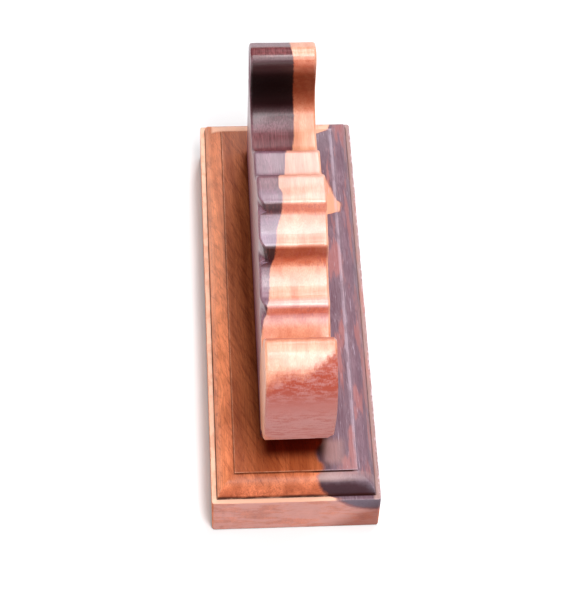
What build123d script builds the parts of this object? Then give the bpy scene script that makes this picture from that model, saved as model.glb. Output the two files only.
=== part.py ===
"""Scrolled wooden stand: a moulded plinth that carries a scroll-cut board on edge.

Millimetres. The origin is the middle of the plinth's underside. +X is to the right, +Y runs back along
the length, away from the upright's rounded nose, and +Z is up.
"""
from build123d import *
import os
from dataclasses import dataclass
from math import radians, tan

OVERALL_HEIGHT = 97.5  # from the underside to the top of the finial

# Plinth
PLINTH_LENGTH = 173.0
PLINTH_WIDTH = 60.0
EDGE_HEIGHT = 18.8  # square edge below the ledge
LEDGE_WIDTH = 1.9  # flat ledge outside the ovolo
QUIRK_HEIGHT = 0.2  # upright start of the ovolo above the ledge
OVOLO_RADIUS = 6.35  # quarter-inch rounding-over cutter
FIELD_STEP = 0.65  # square step from the ovolo up to the field
PLINTH_CORNER_RADIUS = 1.0
PLINTH_ARRIS_RADIUS = 0.5

# Upright board
BOARD_THICKNESS = 24.0
FOOT_LENGTH = 132.0  # what stands on the field
FOOT_OFFSET = 2.0  # the foot's middle, behind the plinth's middle
BOARD_ARRIS_RADIUS = 0.8

# How far the outline drops below the top of the finial
CREST_DROP = 1.9
NOSE_DROP = 5.3
SECOND_STEP_DROP = 9.3
LEDGE_DROP = 16.7
FIRST_STEP_DROP = 20.4
SADDLE_DROP = 26.9
NECK_DROP = 29.3

# The nose, and how far back from the front of the foot each part of the outline starts
NOSE_REACH = 19.9  # overhang in front of the foot
TOE_HEIGHT = 6.0  # upright toe below the nose's cove
COVE_HEIGHT = 22.4  # where the cove meets the nose's front
NOSE_MIDDLE_HEIGHT = 45.0
NECK_START = 8.6
FIRST_RISER = 20.1
SECOND_RISER = 37.0
THIRD_RISER = 50.0
CREST_HOLLOW = 59.5
CREST_END = 65.6
LEDGE_START = 74.0
LEDGE_END = 87.8
SADDLE_START = 96.0

# The finial, as distances in front of the back of the foot
CROWN_REACH = 12.2  # the highest point of its domed crown
THROAT_REACH = 16.7
SADDLE_RISE = 27.5  # where the saddle starts to climb to the throat

# Radii of the outline
TOE_RADIUS = 9.0
NOSE_LOWER_RADIUS = 22.0
NOSE_FRONT_RADIUS = 36.0
NOSE_TOP_RADIUS = 12.0
NECK_RADIUS = 6.5
STEP_COVE_RADIUS = 3.6
STEP_ARRIS_RADIUS = 2.3
BACK_ARRIS_RADIUS = 3.8  # where the crest and the ledge turn down
HOLLOW_RADIUS = 7.5
SWEEP_RADIUS = 8.0
SADDLE_RADIUS = 6.0
CREST_HOLLOW_RADIUS = 30.0
SADDLE_RISE_RADIUS = 14.0
THROAT_RADIUS = 9.0
CROWN_RADIUS = 7.5
FINIAL_BACK_RADIUS = 9.0

# The nose's lower right corner, eased by hand as a very shallow dome
EASE_HEIGHT = 21.5
EASE_SETBACK = 5.0  # behind the nose's furthest reach
EASE_DEPTH = 1.5
EASE_RADIUS = 60.0
EASE_REACH = 15.0
EASE_DIRECTION = (0.48, -0.75, -0.46)  # outward from the board

# Countersunk wood screws, up through the plinth
SCREW_LENGTH = 45.0
SCREW_DIAMETER = 4.0
SCREW_ROOT_DIAMETER = 2.8
SCREW_HEAD_DIAMETER = 8.0
SCREW_HEAD_RIM = 0.3
SCREW_SHANK_LENGTH = 18.0
SCREW_POINT_LENGTH = 4.0
THREAD_PITCH = 1.8
THREAD_RUNOUT = 0.5  # plain root between the shank and the thread
SLOT_WIDTH = 1.1
SLOT_DEPTH = 1.2
HEAD_RECESS = 0.5  # below the underside
COUNTERSINK_ANGLE = 90.0
SCREW_INSET = 14.0  # end screws, in from the ends of the foot
SHANK_CLEARANCE = 0.2
THREAD_CLEARANCE = 0.05
PILOT_SPARE_DEPTH = 2.0
DRILL_OVERRUN = 1.0  # a drill's travel past the face it breaks through

# Locating dowels, midway between the screws
DOWEL_DIAMETER = 8.0
DOWEL_LENGTH = 26.0
DOWEL_CHAMFER = 1.0
DOWEL_CLEARANCE = 0.05
DOWEL_SPARE_DEPTH = 0.5

# Worked out from the sizes above
LEDGE_TOP = EDGE_HEIGHT
OVOLO_TOP = LEDGE_TOP + QUIRK_HEIGHT + OVOLO_RADIUS
FIELD_TOP = OVOLO_TOP + FIELD_STEP
MOULDING_WIDTH = LEDGE_WIDTH + OVOLO_RADIUS
FINIAL_HEIGHT = OVERALL_HEIGHT - FIELD_TOP  # this and the next heights are above the field
CREST_HEIGHT = FINIAL_HEIGHT - CREST_DROP
NOSE_HEIGHT = FINIAL_HEIGHT - NOSE_DROP
SECOND_STEP_HEIGHT = FINIAL_HEIGHT - SECOND_STEP_DROP
LEDGE_HEIGHT = FINIAL_HEIGHT - LEDGE_DROP
FIRST_STEP_HEIGHT = FINIAL_HEIGHT - FIRST_STEP_DROP
SADDLE_HEIGHT = FINIAL_HEIGHT - SADDLE_DROP
NECK_HEIGHT = FINIAL_HEIGHT - NECK_DROP
FOOT_FRONT = FOOT_OFFSET - FOOT_LENGTH / 2
FOOT_BACK = FOOT_OFFSET + FOOT_LENGTH / 2
COUNTERSINK_SLOPE = tan(radians(COUNTERSINK_ANGLE / 2))
HEAD_CONE_HEIGHT = (SCREW_HEAD_DIAMETER - SCREW_DIAMETER) / 2 / COUNTERSINK_SLOPE
SCREW_STATIONS = {
    "front": FOOT_FRONT + SCREW_INSET,
    "middle": FOOT_OFFSET,
    "rear": FOOT_BACK - SCREW_INSET,
}
DOWEL_STATIONS = {
    "front": (SCREW_STATIONS["front"] + SCREW_STATIONS["middle"]) / 2,
    "rear": (SCREW_STATIONS["middle"] + SCREW_STATIONS["rear"]) / 2,
}


@dataclass(frozen=True)
class Corner:
    """One corner of the board's outline, before it is rounded."""

    y: float
    height: float
    radius: float


def from_front(distance, height, radius):
    """A corner placed from the front of the foot."""
    return Corner(FOOT_FRONT + distance, height, radius)


def from_back(distance, height, radius):
    """A corner placed from the back of the foot."""
    return Corner(FOOT_BACK + distance, height, radius)


def nose_corners():
    """The foot's toe and cove, then the overhanging nose, up and over to the neck."""
    return [
        from_front(0.0, 0.0, 0.0),
        from_front(0.0, TOE_HEIGHT, TOE_RADIUS),
        from_front(4.2 - NOSE_REACH, COVE_HEIGHT, NOSE_LOWER_RADIUS),
        from_front(-0.4 - NOSE_REACH, NOSE_MIDDLE_HEIGHT, NOSE_FRONT_RADIUS),
        from_front(2.3 - NOSE_REACH, NOSE_HEIGHT - 9.0, NOSE_TOP_RADIUS),
        from_front(6.9 - NOSE_REACH, NOSE_HEIGHT - 4.2, NOSE_TOP_RADIUS),
        from_front(12.4 - NOSE_REACH, NOSE_HEIGHT - 1.2, NOSE_TOP_RADIUS),
        from_front(-2.8, NOSE_HEIGHT, 6.0),
        from_front(2.8, NOSE_HEIGHT - 7.2, 5.0),
        from_front(NECK_START, NECK_HEIGHT - 0.4, NECK_RADIUS),
    ]


def step_corners():
    """Three steps, each a scooped tread that sweeps up into a riser with a rounded lip."""
    return [
        from_front(FIRST_RISER - 7.6, NECK_HEIGHT, HOLLOW_RADIUS),
        from_front(FIRST_RISER, NECK_HEIGHT + 4.5, STEP_COVE_RADIUS),
        from_front(FIRST_RISER + 1.8, FIRST_STEP_HEIGHT, STEP_ARRIS_RADIUS),
        from_front(FIRST_RISER + 8.1, FIRST_STEP_HEIGHT - 1.6, HOLLOW_RADIUS),
        from_front(SECOND_RISER, FIRST_STEP_HEIGHT + 3.2, STEP_COVE_RADIUS),
        from_front(SECOND_RISER + 1.6, SECOND_STEP_HEIGHT - 0.1, STEP_ARRIS_RADIUS),
        from_front(SECOND_RISER + 5.6, SECOND_STEP_HEIGHT, HOLLOW_RADIUS),
        from_front(THIRD_RISER, SECOND_STEP_HEIGHT + 3.8, STEP_COVE_RADIUS),
        from_front(THIRD_RISER + 1.9, CREST_HEIGHT - 0.1, STEP_ARRIS_RADIUS),
        from_front(THIRD_RISER + 4.6, CREST_HEIGHT, CREST_HOLLOW_RADIUS),
        from_front(CREST_HOLLOW, CREST_HEIGHT - 0.9, CREST_HOLLOW_RADIUS),
        from_front(CREST_END, CREST_HEIGHT - 1.2, BACK_ARRIS_RADIUS),
    ]


def ledge_corners():
    """The sweep down behind the crest, the ledge and the drop into the saddle."""
    return [
        from_front(CREST_END + 2.8, CREST_HEIGHT - 8.4, 5.0),
        from_front(LEDGE_START, LEDGE_HEIGHT + 0.1, SWEEP_RADIUS),
        from_front(LEDGE_END, LEDGE_HEIGHT - 0.2, BACK_ARRIS_RADIUS),
        from_front(LEDGE_END + 2.8, SADDLE_HEIGHT + 2.6, 4.0),
        from_front(SADDLE_START, SADDLE_HEIGHT, SADDLE_RADIUS),
    ]


def finial_corners():
    """The saddle's rising back, the finial with its throat and domed crown, and the back of the foot."""
    return [
        from_back(-SADDLE_RISE, SADDLE_HEIGHT - 0.2, SADDLE_RISE_RADIUS),
        from_back(-3.2 - THROAT_REACH, SADDLE_HEIGHT + 3.2, THROAT_RADIUS),
        from_back(0.4 - THROAT_REACH, SADDLE_HEIGHT + 9.6, THROAT_RADIUS),
        from_back(-THROAT_REACH, FINIAL_HEIGHT - 8.5, THROAT_RADIUS),
        from_back(-4.2 - CROWN_REACH, FINIAL_HEIGHT - 2.6, CROWN_RADIUS),
        from_back(-1.4 - CROWN_REACH, FINIAL_HEIGHT, CROWN_RADIUS),
        from_back(1.4 - CROWN_REACH, FINIAL_HEIGHT, CROWN_RADIUS),
        from_back(-4.6, FINIAL_HEIGHT - 3.6, FINIAL_BACK_RADIUS),
        from_back(1.0, FINIAL_HEIGHT - 11.5, FINIAL_BACK_RADIUS),
        from_back(-2.0, SADDLE_HEIGHT + 1.4, 2.2),
        from_back(0.0, SADDLE_HEIGHT - 1.6, 2.5),
        from_back(0.0, 0.0, 0.0),
    ]


def rounded_radius(before, corner, after):
    """The corner's radius, kept small enough for the shorter of its two sides."""
    here = Vector(corner.y, corner.height)
    back = Vector(before.y, before.height) - here
    ahead = Vector(after.y, after.height) - here
    half_angle = radians(back.get_angle(ahead) / 2)
    longest_tangent = 0.5 * min(back.length, ahead.length)
    return min(corner.radius, longest_tangent * tan(half_angle))


def board_outline():
    """The board's side outline as a closed face in the YZ plane."""
    corners = nose_corners() + step_corners() + ledge_corners() + finial_corners()
    before = corners[-1:] + corners[:-1]
    after = corners[1:] + corners[:1]
    radii = [rounded_radius(*three) for three in zip(before, corners, after)]
    points = [(0.0, corner.y, FIELD_TOP + corner.height) for corner in corners]
    return make_face(FilletPolyline(*points, radius=radii, close=True).edges())


def nose_easing():
    """What is eased off the nose's lower right corner."""
    corner = Vector(BOARD_THICKNESS / 2, FOOT_FRONT + EASE_SETBACK - NOSE_REACH, FIELD_TOP + EASE_HEIGHT)
    outward = Vector(*EASE_DIRECTION).normalized()
    dome = Pos(corner - outward * (EASE_RADIUS + EASE_DEPTH)) * Sphere(EASE_RADIUS)
    return Pos(corner) * Box(2 * EASE_REACH, 2 * EASE_REACH, 2 * EASE_REACH) - dome


def dowel_hole(y):
    """The two blind holes that one dowel fills, as one cutter."""
    depth = DOWEL_LENGTH / 2 + DOWEL_SPARE_DEPTH
    return Pos(0, y, FIELD_TOP) * Cylinder(DOWEL_DIAMETER / 2 + DOWEL_CLEARANCE, 2 * depth)


def standing_cylinder(radius, bottom, top):
    """A cylinder about the Z axis between two heights."""
    return Pos(0, 0, (bottom + top) / 2) * Cylinder(radius, top - bottom)


def screw_clearance_hole(y):
    """The countersunk hole for one screw's head and shank, through the plinth."""
    shank_radius = SCREW_DIAMETER / 2 + SHANK_CLEARANCE
    shank = standing_cylinder(shank_radius, -DRILL_OVERRUN, FIELD_TOP + DRILL_OVERRUN)
    mouth_radius = SCREW_HEAD_DIAMETER / 2 + (HEAD_RECESS + SCREW_HEAD_RIM) * COUNTERSINK_SLOPE
    depth = mouth_radius / COUNTERSINK_SLOPE
    countersink = Pos(0, 0, depth / 2) * Cone(mouth_radius, 0, depth)
    return Pos(0, y, 0) * (shank + countersink)


def screw_pilot_hole(y):
    """The bore in the upright that one screw's thread fills."""
    depth = HEAD_RECESS + SCREW_LENGTH + PILOT_SPARE_DEPTH
    bore_radius = SCREW_DIAMETER / 2 + THREAD_CLEARANCE
    return Pos(0, y, 0) * standing_cylinder(bore_radius, FIELD_TOP - DRILL_OVERRUN, depth)


def build_plinth():
    """A solid board with a ledge, an ovolo and a stepped-up field, drilled for its fixings."""
    edge = extrude(
        RectangleRounded(PLINTH_WIDTH, PLINTH_LENGTH, PLINTH_CORNER_RADIUS), EDGE_HEIGHT
    )
    edge = fillet(edge.faces().sort_by(Axis.Z)[0].edges(), PLINTH_ARRIS_RADIUS)
    ovolo_height = OVOLO_TOP - PLINTH_ARRIS_RADIUS
    ovolo = Pos(0, 0, OVOLO_TOP - ovolo_height / 2) * Box(
        PLINTH_WIDTH - 2 * LEDGE_WIDTH, PLINTH_LENGTH - 2 * LEDGE_WIDTH, ovolo_height
    )
    ovolo = fillet(ovolo.faces().sort_by(Axis.Z)[-1].edges(), OVOLO_RADIUS)
    field_height = FIELD_TOP - PLINTH_ARRIS_RADIUS
    field = Pos(0, 0, FIELD_TOP - field_height / 2) * Box(
        PLINTH_WIDTH - 2 * MOULDING_WIDTH, PLINTH_LENGTH - 2 * MOULDING_WIDTH, field_height
    )
    plinth = edge + ovolo + field
    for y in SCREW_STATIONS.values():
        plinth -= screw_clearance_hole(y)
    for y in DOWEL_STATIONS.values():
        plinth -= dowel_hole(y)
    return plinth


def build_upright():
    """The scroll-cut board with eased arrises and the bores in its foot."""
    board = extrude(board_outline(), BOARD_THICKNESS / 2, both=True)
    side_faces = board.faces().filter_by(Axis.X)
    arrises = [e for e in side_faces.edges() if e.center().Z > FIELD_TOP + BOARD_ARRIS_RADIUS]
    board = fillet(arrises, BOARD_ARRIS_RADIUS) - nose_easing()
    for y in SCREW_STATIONS.values():
        board -= screw_pilot_hole(y)
    for y in DOWEL_STATIONS.values():
        board -= dowel_hole(y)
    return board


def thread_profile(start, end):
    """The thread's toothed edge from one height to another, as (radius, height) points."""
    root = SCREW_ROOT_DIAMETER / 2
    crest = SCREW_DIAMETER / 2
    turns = int((end - start) // THREAD_PITCH)
    points = []
    for turn in range(turns):
        foot = start + turn * THREAD_PITCH
        points += [(root, foot), (crest, foot + THREAD_PITCH * 0.45), (crest, foot + THREAD_PITCH * 0.55)]
    return points + [(root, start + turns * THREAD_PITCH), (root, end)]


def build_screw(y):
    """A slotted countersunk wood screw, head down, with its point in the upright."""
    head = SCREW_HEAD_DIAMETER / 2
    shank = SCREW_DIAMETER / 2
    bottom = HEAD_RECESS
    neck = bottom + SCREW_HEAD_RIM + HEAD_CONE_HEIGHT
    thread_start = bottom + SCREW_SHANK_LENGTH
    point_start = bottom + SCREW_LENGTH - SCREW_POINT_LENGTH
    tip = bottom + SCREW_LENGTH
    edge = [(0, bottom), (head, bottom), (head, bottom + SCREW_HEAD_RIM), (shank, neck)]
    edge.append((shank, thread_start))
    edge += thread_profile(thread_start + THREAD_RUNOUT, point_start)
    edge.append((0, tip))
    half_section = make_face(Polyline(*[(r, 0, z) for r, z in edge], close=True))
    screw = revolve(half_section, Axis.Z)
    screw -= Pos(0, 0, bottom) * Box(SLOT_WIDTH, 2 * SCREW_HEAD_DIAMETER, 2 * SLOT_DEPTH)
    return Pos(0, y, 0) * screw


def build_dowel(y):
    """A dowel with chamfered ends, half in the plinth and half in the upright."""
    dowel = Cylinder(DOWEL_DIAMETER / 2, DOWEL_LENGTH)
    dowel = chamfer(dowel.edges().filter_by(GeomType.CIRCLE), DOWEL_CHAMFER)
    return Pos(0, y, FIELD_TOP) * dowel


def build_nodes():
    """Every piece by its node's name."""
    nodes = {"plinth": build_plinth(), "scrolled_upright": build_upright()}
    for place, y in SCREW_STATIONS.items():
        nodes[f"wood_screw_{place}"] = build_screw(y)
    for place, y in DOWEL_STATIONS.items():
        nodes[f"dowel_{place}"] = build_dowel(y)
    return nodes


def main():
    """Writes one STEP file for each piece."""
    os.makedirs("parts", exist_ok=True)
    for name, shape in build_nodes().items():
        export_step(shape, f"parts/{name}.step")
        print(f"{name}: {shape.volume:.1f} mm3")


if __name__ == "__main__":
    main()
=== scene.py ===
"""Dresses the scrolled wooden stand: two-tone oiled hardwood, brass screws and beech dowels.

Metres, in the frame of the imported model. The origin is the middle of the plinth's underside, +X is to
the right, +Y runs back along the length and +Z is up. Places inside the materials are in millimetres.
"""

import logging
from dataclasses import asdict, dataclass, field
from enum import Enum
from math import radians

import bmesh
import bpy
from mathutils import Matrix, Vector


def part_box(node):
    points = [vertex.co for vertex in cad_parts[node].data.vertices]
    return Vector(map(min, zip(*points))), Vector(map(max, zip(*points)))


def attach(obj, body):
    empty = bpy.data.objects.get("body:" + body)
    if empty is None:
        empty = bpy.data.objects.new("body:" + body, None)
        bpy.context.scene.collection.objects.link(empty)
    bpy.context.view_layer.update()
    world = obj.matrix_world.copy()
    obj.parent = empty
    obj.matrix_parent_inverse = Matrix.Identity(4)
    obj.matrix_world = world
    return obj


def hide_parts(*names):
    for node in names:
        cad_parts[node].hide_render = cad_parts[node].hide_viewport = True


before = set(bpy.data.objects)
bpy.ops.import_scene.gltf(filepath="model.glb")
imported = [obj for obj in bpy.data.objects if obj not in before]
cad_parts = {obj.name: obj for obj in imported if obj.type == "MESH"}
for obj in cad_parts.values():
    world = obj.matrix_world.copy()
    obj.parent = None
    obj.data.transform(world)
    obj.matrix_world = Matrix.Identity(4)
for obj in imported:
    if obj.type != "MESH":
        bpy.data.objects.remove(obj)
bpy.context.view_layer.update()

log = logging.getLogger("stand")

Colour = tuple[float, float, float, float]
Point = tuple[float, float, float]
Line = tuple[tuple[float, float], ...]
Edges = tuple[float, ...]
Material = bpy.types.Material
Node = bpy.types.Node
Piece = bpy.types.Object
Socket = bpy.types.NodeSocket
Tree = bpy.types.NodeTree

BODY = "root"
MILLIMETRES = (1000.0, 1000.0, 1000.0)
OCCLUSION_SAMPLES = 8
WATTS_AT_BRIGHTNESS_ONE = 3.1416
WELD_DISTANCE = 1e-6
CUT_DISTANCE = 1e-7


class Way(Enum):
    """How one colour is laid over another, by the Mix node's name for it."""

    OVER = "MIX"
    STAIN = "MULTIPLY"


def paint(red: int, green: int, blue: int) -> Colour:
    """A colour as seen on a screen, in the linear values that a shader takes.

    Args:
        red: Red, 0 to 255.
        green: Green, 0 to 255.
        blue: Blue, 0 to 255.

    Returns:
        The linear colour with full alpha.
    """
    levels = []
    for level in (red, green, blue):
        share = level / 255
        levels.append(share / 12.92 if share <= 0.04045 else ((share + 0.055) / 1.055) ** 2.4)
    return (levels[0], levels[1], levels[2], 1.0)


@dataclass(frozen=True)
class Specks:
    """Noise that is cut off softly, so that it says where marks show."""

    scale: float | Point | Socket
    low: float
    high: float
    detail: float = 2.0
    roughness: float = 0.5


class Graph:
    """Adds nodes to one tree and joins them."""

    def __init__(self, tree: Tree) -> None:
        """Starts on a tree that may already hold nodes."""
        self.tree = tree

    def feed(self, socket: Socket, value: object) -> None:
        """Joins an output to a socket, or writes a constant on it.

        Args:
            socket: The socket to fill.
            value: The output or the constant.
        """
        if isinstance(value, Socket):
            self.tree.links.new(value, socket)
        else:
            socket.default_value = value

    def node(self, kind: str, values: dict[int | str, object] | None = None, **settings: object) -> Node:
        """Adds one node and fills the sockets that are named or numbered.

        Args:
            kind: The node's type name.
            values: Each socket's name or number, with its constant or the output that feeds it.
            **settings: Values for the node's own properties.

        Returns:
            The new node.
        """
        node = self.tree.nodes.new(kind)
        for name, value in settings.items():
            setattr(node, name, value)
        for key, value in (values or {}).items():
            self.feed(node.inputs[key], value)
        return node

    def first(self, kind: str, values: dict[int | str, object], **settings: object) -> Socket:
        """The first output of a new node."""
        return self.node(kind, values, **settings).outputs[0]

    def folded(self, operation: str, values: tuple[object, ...]) -> Socket:
        """Arithmetic on numbers, from the first to the last.

        Args:
            operation: The step, named as the Math node names it.
            values: The numbers.

        Returns:
            What the steps come to.
        """
        result = values[0]
        for value in values[1:]:
            result = self.first("ShaderNodeMath", {0: result, 1: value}, operation=operation)
        return result

    def times(self, *factors: object) -> Socket:
        """The product of some numbers."""
        return self.folded("MULTIPLY", factors)

    def plus(self, *terms: object) -> Socket:
        """The sum of some numbers."""
        return self.folded("ADD", terms)

    def minus(self, whole: object, part: object) -> Socket:
        """What is left of a number once another is taken from it."""
        return self.folded("SUBTRACT", (whole, part))

    def most(self, *values: object) -> Socket:
        """The largest of some numbers."""
        return self.folded("MAXIMUM", values)

    def away(self, value: Socket, middle: float = 0.0) -> Socket:
        """How far a number is from a middle, on either side."""
        offset = self.minus(value, middle) if middle else value
        return self.first("ShaderNodeMath", {0: offset}, operation="ABSOLUTE")

    def vector(self, operation: str, *terms: object) -> Socket:
        """One step of arithmetic on vectors, named as the Vector Math node names it."""
        node = self.node("ShaderNodeVectorMath", dict(enumerate(terms)), operation=operation)
        return node.outputs["Value" if operation == "LENGTH" else "Vector"]

    def parts(self, vector: Socket) -> tuple[Socket, Socket, Socket]:
        """The three numbers of a vector."""
        out = self.node("ShaderNodeSeparateXYZ", {0: vector}).outputs
        return out[0], out[1], out[2]

    def noise(self, place: Socket, scale: object, detail: float = 2.0, roughness: float = 0.5) -> Socket:
        """Smooth noise around one half.

        Args:
            place: Where the noise is read.
            scale: How many features there are in one unit of place, in all directions or in each.
            detail: Octaves of finer noise.
            roughness: How strong the finer octaves are.

        Returns:
            The noise, mostly between 0.3 and 0.7.
        """
        if isinstance(scale, tuple):
            place, scale = self.vector("MULTIPLY", place, scale), 1.0
        values = {"Vector": place, "Scale": scale, "Detail": detail, "Roughness": roughness}
        return self.first("ShaderNodeTexNoise", values)

    def sway(
        self, place: Socket, scale: object, amount: object, detail: float = 2.0, roughness: float = 0.5
    ) -> Socket:
        """Noise on both sides of zero, by an amount."""
        return self.times(self.minus(self.noise(place, scale, detail, roughness), 0.5), amount)

    def specks(self, place: Socket, specks: Specks, start: float = 0.0, end: float = 1.0) -> Socket:
        """Noise cut off softly, from one share to another."""
        noise = self.noise(place, specks.scale, specks.detail, specks.roughness)
        return self.ease(noise, specks.low, specks.high, start, end)

    def ease(
        self, value: Socket, low: object, high: object, start: object = 0.0, end: object = 1.0
    ) -> Socket:
        """A soft step.

        Args:
            value: What is compared.
            low: Where the step starts.
            high: Where the step ends.
            start: The result before the step.
            end: The result after the step.

        Returns:
            The result, from start to end.
        """
        values = {0: value, 1: low, 2: high, 3: start, 4: end}
        return self.first("ShaderNodeMapRange", values, interpolation_type="SMOOTHSTEP")

    def band(self, value: Socket, edges: Edges) -> Socket:
        """A soft step over the first two edges and, if there are four, another back over the rest."""
        rise = self.ease(value, edges[0], edges[1])
        return rise if len(edges) == 2 else self.times(rise, self.ease(value, edges[3], edges[2]))

    def blend(self, share: object, first: object, second: object, way: Way = Way.OVER) -> Socket:
        """Mixes two colours.

        Args:
            share: How much of the second colour there is, from 0 to 1.
            first: The first colour.
            second: The second colour.
            way: How the second is laid over the first.

        Returns:
            The mixed colour.
        """
        values = {0: share, 6: first, 7: second}
        return self.node("ShaderNodeMix", values, data_type="RGBA", blend_type=way.value).outputs[2]

    def line(self, value: Socket, points: Line) -> Socket:
        """A smooth line through a few points, level beyond its ends.

        Args:
            value: Where the line is read.
            points: The (value, result) pairs, in order.

        Returns:
            The line's result.
        """
        first, last = points[0][0], points[-1][0]
        lowest, highest = min(p[1] for p in points), max(p[1] for p in points)
        share = self.first("ShaderNodeMapRange", {0: value, 1: first, 2: last})
        node = self.node("ShaderNodeFloatCurve", {1: share})
        curve = node.mapping.curves[0]
        while len(curve.points) < len(points):
            curve.points.new(0.5, 0.5)
        for spot, (at, result) in zip(curve.points, points):
            spot.location = ((at - first) / (last - first), (result - lowest) / (highest - lowest))
        node.mapping.update()
        return self.first("ShaderNodeMapRange", {0: node.outputs[0], 3: lowest, 4: highest})

    def bump(self, height: Socket, distance: float, strength: float = 1.0) -> Socket:
        """A normal that a height bends, by a distance in metres."""
        values = {"Strength": strength, "Distance": distance, "Height": height}
        return self.first("ShaderNodeBump", values)

    def surface(self, shader: Socket, kind: str = "Material") -> None:
        """Joins a shader to the output of a material or a world."""
        self.feed(self.node(f"ShaderNodeOutput{kind}").inputs["Surface"], shader)

    def seen(self) -> Socket:
        """1 for what the camera sees directly, in a mirror or through glass."""
        path = self.node("ShaderNodeLightPath").outputs
        return self.most(path["Is Camera Ray"], path["Is Transmission Ray"], path["Is Glossy Ray"])


def new_group(
    name: str, inputs: dict[str, tuple[str, object]], outputs: dict[str, str], kind: str = "Shader"
) -> tuple:
    """Starts a node group with named sockets.

    Args:
        name: The group's name.
        inputs: Each input's name, with its socket kind and starting value.
        outputs: Each output's name, with its socket kind.
        kind: Shader, or Geometry for a tree that a modifier runs.

    Returns:
        The graph to build in, the sockets that bring the inputs in, and the output node.
    """
    tree = bpy.data.node_groups.new(name, f"{kind}NodeTree")
    for socket_name, (sort, value) in inputs.items():
        socket = tree.interface.new_socket(socket_name, in_out="INPUT", socket_type=f"NodeSocket{sort}")
        if value is not None:
            socket.default_value = value
    for socket_name, sort in outputs.items():
        tree.interface.new_socket(socket_name, in_out="OUTPUT", socket_type=f"NodeSocket{sort}")
    graph = Graph(tree)
    return graph, graph.node("NodeGroupInput").outputs, graph.node("NodeGroupOutput")


def new_material(name: str) -> tuple[Material, Graph, Socket]:
    """Starts a material.

    Args:
        name: The material's name.

    Returns:
        The material, the graph to build in, and the place on the object in millimetres.
    """
    material = bpy.data.materials.new(name)
    material.use_nodes = True
    material.node_tree.nodes.clear()
    graph = Graph(material.node_tree)
    place = graph.node("ShaderNodeTexCoord").outputs["Object"]
    return material, graph, graph.vector("MULTIPLY", place, MILLIMETRES)


@dataclass
class WoodEffects:
    """The node groups that every wooden piece shares, each built once."""

    grain: Tree = field(init=False)
    wear: Tree = field(init=False)
    end_grain: Tree = field(init=False)

    def __post_init__(self) -> None:
        """Builds the groups."""
        self.grain = self.build_grain()
        self.wear = self.build_wear()
        self.end_grain = self.build_end_grain()

    @staticmethod
    def build_grain() -> Tree:
        """Fine lines, broad bands and open pores that run with the grain.

        Returns:
            The group. Its Place is in millimetres with the grain along Y.
        """
        inputs = {
            "Place": ("Vector", None),
            "Line Width": ("Float", 0.35),
            "Band Width": ("Float", 3.0),
            "Waviness": ("Float", 8.0),
        }
        outputs = {"Lines": "Float", "Bands": "Float", "Pores": "Float"}
        graph, given, result = new_group("Wood grain", inputs, outputs)
        shift = graph.sway(given["Place"], (0.05, 0.02, 0.05), given["Waviness"])
        offset = graph.first("ShaderNodeCombineXYZ", {0: shift, 2: shift})
        bent = graph.vector("ADD", given["Place"], offset)
        drawn = graph.vector("MULTIPLY", bent, (1.0, 0.035, 1.0))
        for name, width, settings in (
            ("Lines", "Line Width", (0.3, 0.7, 3.0, 0.6)),
            ("Bands", "Band Width", (0.34, 0.66, 2.0, 0.45)),
        ):
            figure = Specks(graph.folded("DIVIDE", (1.0, given[width])), *settings)
            graph.feed(result.inputs[name], graph.specks(drawn, figure))
        stretched = graph.vector("MULTIPLY", bent, (1.6, 0.16, 1.6))
        cells = graph.node("ShaderNodeTexVoronoi", {"Vector": stretched, "Scale": 1.0})
        lot = graph.first("ShaderNodeSeparateColor", {0: cells.outputs["Color"]})
        reach = graph.ease(lot, 0.35, 1.0, 0.02, 0.24)
        dash = graph.ease(cells.outputs["Distance"], graph.times(reach, 0.5), reach, 1.0, 0.0)
        graph.feed(result.inputs["Pores"], dash)
        return graph.tree

    @staticmethod
    def build_wear() -> Tree:
        """Where an arris is rubbed, where a recess is darkened as painted shade, and what hands polish.

        Returns:
            The group, with a mask for each.
        """
        inputs = {"Arris": ("Float", 0.0006), "Recess": ("Float", 0.0012), "Palm": ("Float", 0.022)}
        outputs = {"Rubbed": "Float", "Recess Shade": "Float", "Polished": "Float"}
        graph, given, result = new_group("Wear", inputs, outputs)
        masks = (
            ("Rubbed", "Arris", True, (0.2, 0.95, 1.0, 0.0)),
            ("Recess Shade", "Recess", False, (0.25, 0.9, 1.0, 0.0)),
            ("Polished", "Palm", False, (0.58, 0.92)),
        )
        for mask, reach, within, steps in masks:
            occlusion = graph.node(
                "ShaderNodeAmbientOcclusion",
                {"Distance": given[reach]},
                inside=within,
                samples=OCCLUSION_SAMPLES,
            )
            graph.feed(result.inputs[mask], graph.ease(occlusion.outputs["AO"], *steps))
        return graph.tree

    @staticmethod
    def build_end_grain() -> Tree:
        """How squarely a surface cuts across the grain, with the cut pores' dots.

        Returns:
            The group. Its Place is in millimetres with the grain along Y.
        """
        inputs, outputs = {"Place": ("Vector", None)}, {"Cut": "Float", "Dots": "Float"}
        graph, given, result = new_group("End grain", inputs, outputs)
        normal = graph.node("ShaderNodeTexCoord").outputs["Normal"]
        across = graph.away(graph.parts(normal)[1])
        graph.feed(result.inputs["Cut"], graph.ease(across, 0.35, 0.98))
        dots = graph.node("ShaderNodeTexVoronoi", {"Vector": given["Place"], "Scale": 1.9})
        size = graph.first("ShaderNodeSeparateColor", {0: dots.outputs["Color"]})
        rim = graph.ease(size, 0.1, 1.0, 0.08, 0.32)
        spot = graph.ease(dots.outputs["Distance"], graph.times(rim, 0.4), rim, 1.0, 0.0)
        graph.feed(result.inputs["Dots"], graph.times(spot, graph.ease(across, 0.4, 0.9)))
        return graph.tree


@dataclass(frozen=True)
class Zone:
    """Part of a board, between soft edges in millimetres. A direction without edges is left open."""

    x: Edges = ()
    y: Edges = ()
    z: Edges = ()


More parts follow.
